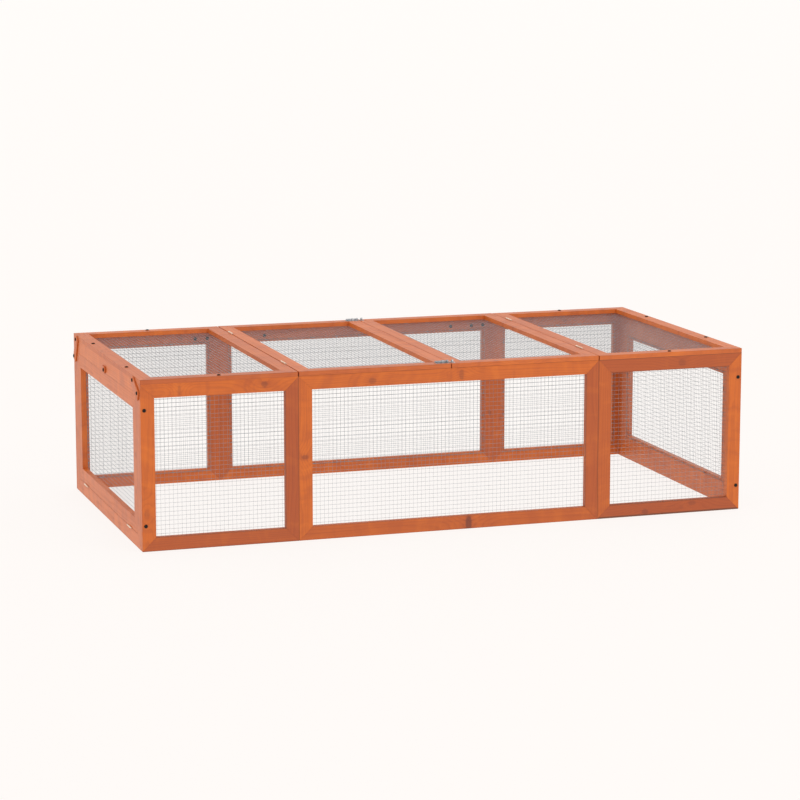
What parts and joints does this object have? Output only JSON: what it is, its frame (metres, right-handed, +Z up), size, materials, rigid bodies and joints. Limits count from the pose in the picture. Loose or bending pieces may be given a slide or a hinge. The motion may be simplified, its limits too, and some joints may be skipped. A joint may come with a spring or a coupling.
{
  "type": "small animal hutch",
  "caption": "Low outdoor run for small pets: mitred timber frames with wire mesh panels, hinged roof lids held by barrel bolts, and a drop-down end door with a turn button.",
  "frame": {"origin": "middle of the footprint, on the ground under the walls", "axes": "+X along the length from the door end, +Y to the back, +Z up"},
  "size_m": [1.8071, 0.9038, 0.4894],
  "materials": {
    "wall_wood": "stained and satin varnished",
    "end_wood": "stained and satin varnished",
    "roof_wood": "stained and satin varnished",
    "door_wood": "stained and satin varnished",
    "plate_wood": "stained and satin varnished",
    "mesh": "galvanised",
    "hinge_steel": "zinc plated",
    "bolt_steel": "zinc plated",
    "plate_paint": "brown paint",
    "screw": "black phosphate"
  },
  "bodies": {
    "frame": {"front_left_rails": "wall_wood", "front_left_stiles": "wall_wood", "front_left_mesh": "mesh", "front_middle_rails": "wall_wood", "front_middle_stiles": "wall_wood", "front_middle_mesh": "mesh", "front_right_rails": "wall_wood", "front_right_stiles": "wall_wood", "front_right_mesh": "mesh", "back_left_rails": "wall_wood", "back_left_stiles": "wall_wood", "back_left_mesh": "mesh", "back_middle_rails": "wall_wood", "back_middle_stiles": "wall_wood", "back_middle_mesh": "mesh", "back_right_rails": "wall_wood", "back_right_stiles": "wall_wood", "back_right_mesh": "mesh", "left_end_rails": "end_wood", "left_end_stiles": "end_wood", "right_end_rails": "end_wood", "right_end_stiles": "end_wood", "right_end_mesh": "mesh", "roof_left_rails": "roof_wood", "roof_left_stiles": "roof_wood", "roof_left_mesh": "mesh", "roof_right_rails": "roof_wood", "roof_right_stiles": "roof_wood", "roof_right_mesh": "mesh", "left_lid_hinge_base": "hinge_steel", "left_lid_hinge_pin": "hinge_steel", "right_lid_hinge_base": "hinge_steel", "right_lid_hinge_pin": "hinge_steel", "door_hinge_base": "hinge_steel", "door_hinge_pin": "hinge_steel", "turn_button_screw": "screw", "corner_plates": "plate_wood", "corner_screws": "screw", "joining_plates": "plate_paint", "inner_screws": "screw", "outer_screws": "screw"},
    "left_lid": {"left_lid_rails": "roof_wood", "left_lid_stiles": "roof_wood", "left_lid_mesh": "mesh", "left_lid_hinge_leaf": "hinge_steel", "bolt_barrels": "bolt_steel", "bolt_screws": "screw"},
    "right_lid": {"right_lid_rails": "roof_wood", "right_lid_stiles": "roof_wood", "right_lid_mesh": "mesh", "right_lid_hinge_leaf": "hinge_steel", "bolt_keepers": "bolt_steel", "keeper_screws": "screw"},
    "end_door": {"door_rails": "door_wood", "door_stiles": "door_wood", "door_mesh": "mesh", "door_hinge_leaf": "hinge_steel"},
    "front_bolt": {"bolt_rod_front": "bolt_steel"},
    "back_bolt": {"bolt_rod_back": "bolt_steel"},
    "turn_button": {"turn_button": "plate_wood"}
  },
  "joints": [
    {"name": "left_lid_hinge", "type": "hinge", "parent": "frame", "child": "left_lid", "pos_m": [-0.45, 0, 0.48345], "axis": [0, -1, 0], "range_deg": [0, 175]},
    {"name": "right_lid_hinge", "type": "hinge", "parent": "frame", "child": "right_lid", "pos_m": [0.45, 0, 0.48345], "axis": [0, 1, 0], "range_deg": [0, 175]},
    {"name": "end_door_hinge", "type": "hinge", "parent": "frame", "child": "end_door", "pos_m": [-0.90234, 0, 0.04], "axis": [0, -1, 0], "range_deg": [0, 95]},
    {"name": "front_bolt_slide", "type": "slide", "parent": "left_lid", "child": "front_bolt", "axis": [1, 0, 0], "range_m": [0, 0.014]},
    {"name": "back_bolt_slide", "type": "slide", "parent": "left_lid", "child": "back_bolt", "axis": [1, 0, 0], "range_m": [0, 0.014]},
    {"name": "turn_button_pivot", "type": "hinge", "parent": "frame", "child": "turn_button", "pos_m": [-0.902, 0, 0.439], "axis": [-1, 0, 0], "range_deg": [0, 90]}
  ]
}
